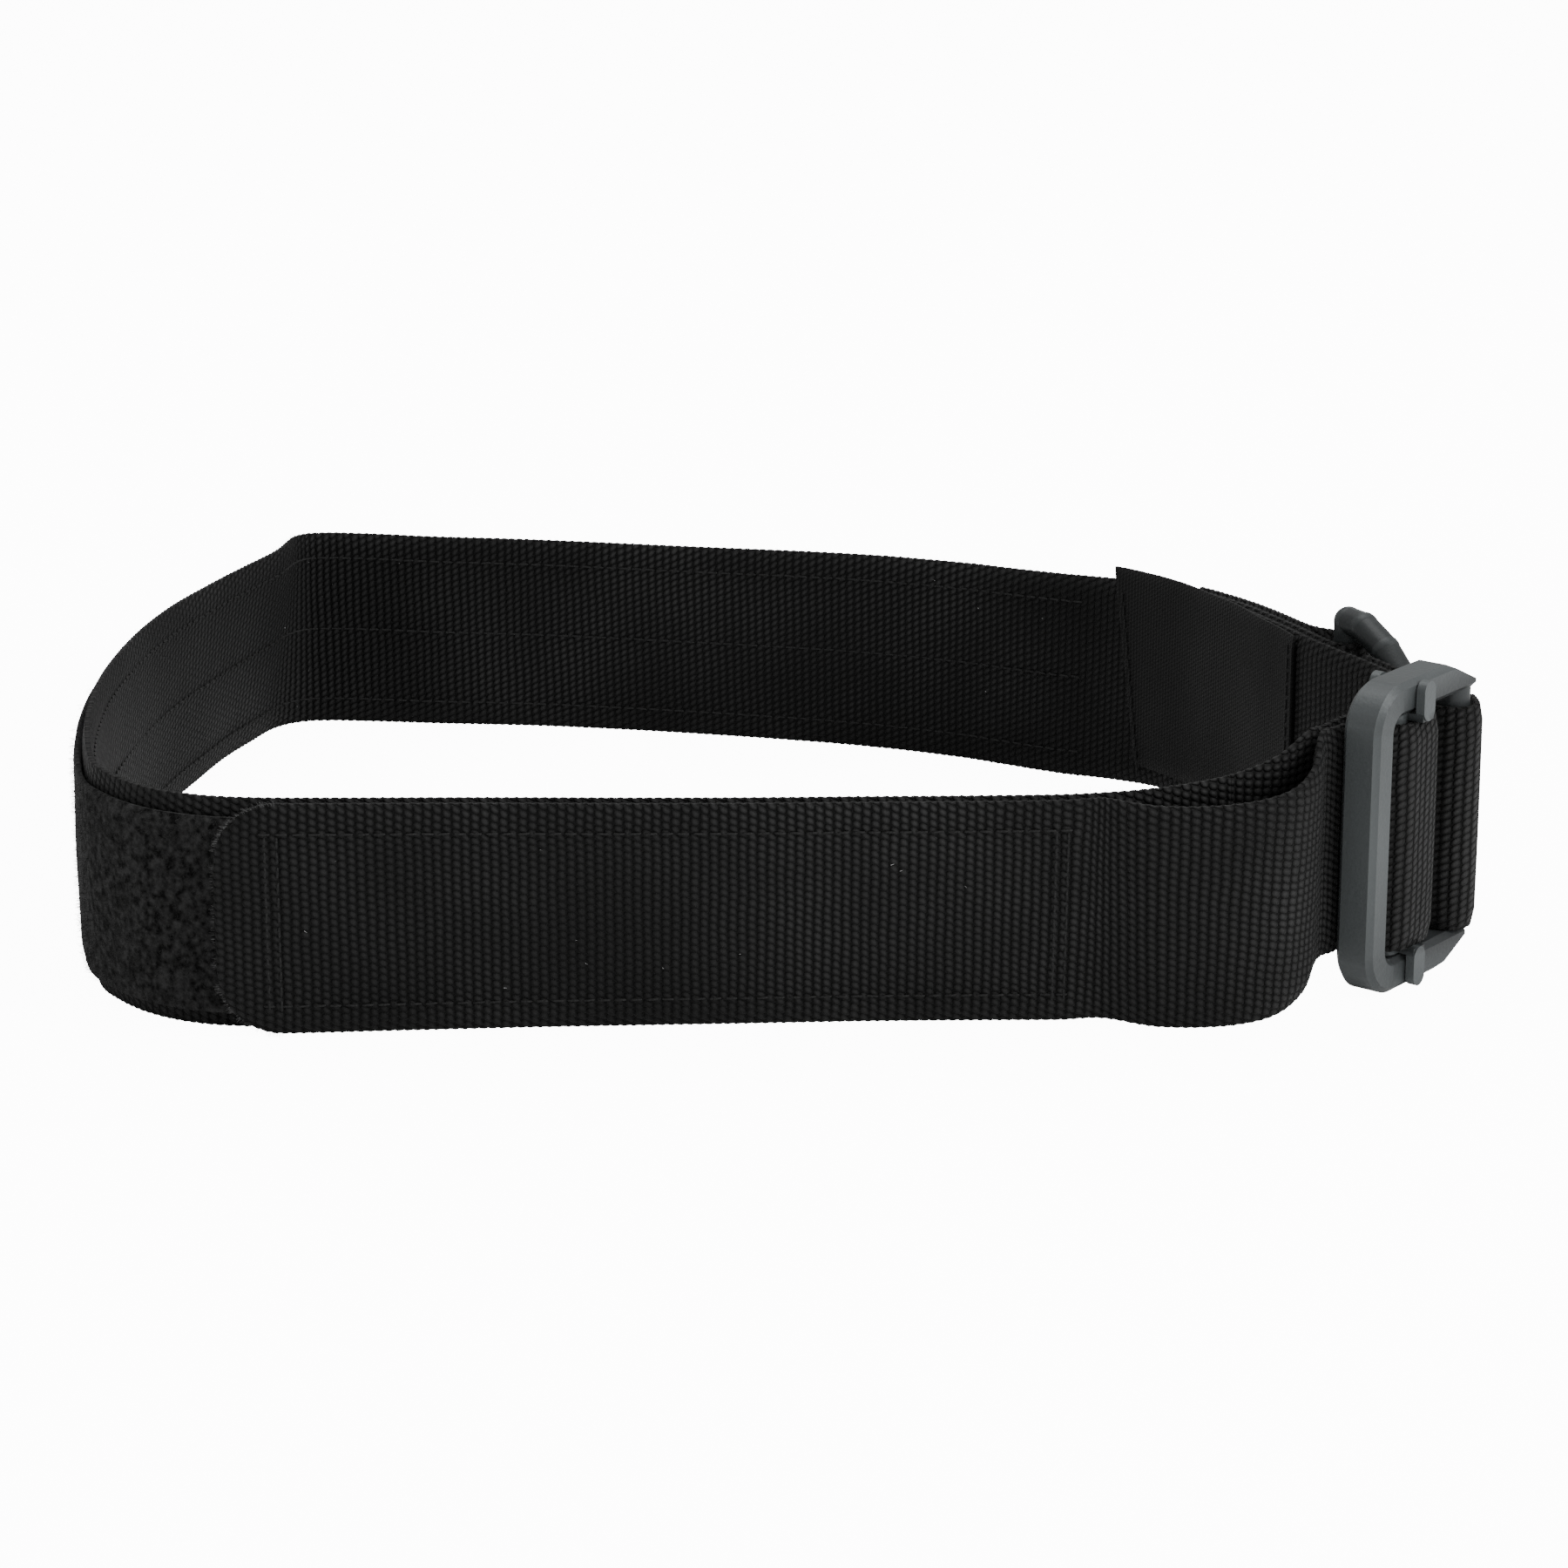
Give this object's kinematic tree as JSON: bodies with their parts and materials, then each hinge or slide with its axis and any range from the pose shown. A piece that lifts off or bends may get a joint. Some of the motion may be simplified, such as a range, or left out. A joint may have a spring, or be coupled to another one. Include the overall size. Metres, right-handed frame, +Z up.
{
  "type": "rescue duty belt strap",
  "caption": "Webbing belt closed by hook and pile tape, with a metal slide-bar adapter and a V-shaped tether ring.",
  "frame": {"origin": "middle of the loop's bounding box, at the height of the lower edge it stands on", "axes": "+Z up across the webbing's width, +X along the loop's length towards the adapter, +Y away from the hook-taped tail"},
  "size_m": [0.2742, 0.2154, 0.061],
  "materials": {
    "webbing": "matt woven nylon",
    "tape": "napped pile",
    "hook": "moulded hooks",
    "liner": "matt woven nylon",
    "metal": "satin dark grey",
    "thread": "bonded thread"
  },
  "bodies": {
    "belt": {"strap_main": "webbing", "strap_root": "webbing", "pile_tape": "tape", "liner_panel": "liner", "ring_keeper": "webbing", "pile_stitching": "thread", "liner_stitching": "thread", "fold_stitching": "thread", "keeper_stitching": "thread"},
    "adapter": {"adapter_frame": "metal", "strap_pass": "webbing"},
    "slider": {"slide_bar": "metal", "strap_wrap": "webbing"},
    "ring": {"v_ring": "metal"},
    "tail": {"strap_tail": "webbing", "hook_tape": "hook", "tail_side_stitching": "thread", "tail_tip_stitching": "thread", "tail_end_stitching": "thread"}
  },
  "joints": [
    {"name": "adapter_swing", "type": "hinge", "parent": "belt", "child": "adapter", "pos_m": [0.13138, -0.05903, 0.0305], "axis": [0, 0, 1], "range_deg": [-5, 10]},
    {"name": "slide_travel", "type": "slide", "parent": "adapter", "child": "slider", "axis": [0.6157, 0.788, 0], "range_m": [0, 0.0035]},
    {"name": "ring_swing", "type": "hinge", "parent": "belt", "child": "ring", "pos_m": [0.11647, -0.01313, 0.029], "axis": [0, 0, 1], "range_deg": [0, 118]},
    {"name": "tail_peel", "type": "hinge", "parent": "belt", "child": "tail", "pos_m": [0.06451, -0.10417, 0.025], "axis": [0, 0, 1], "range_deg": [0, 150]}
  ]
}
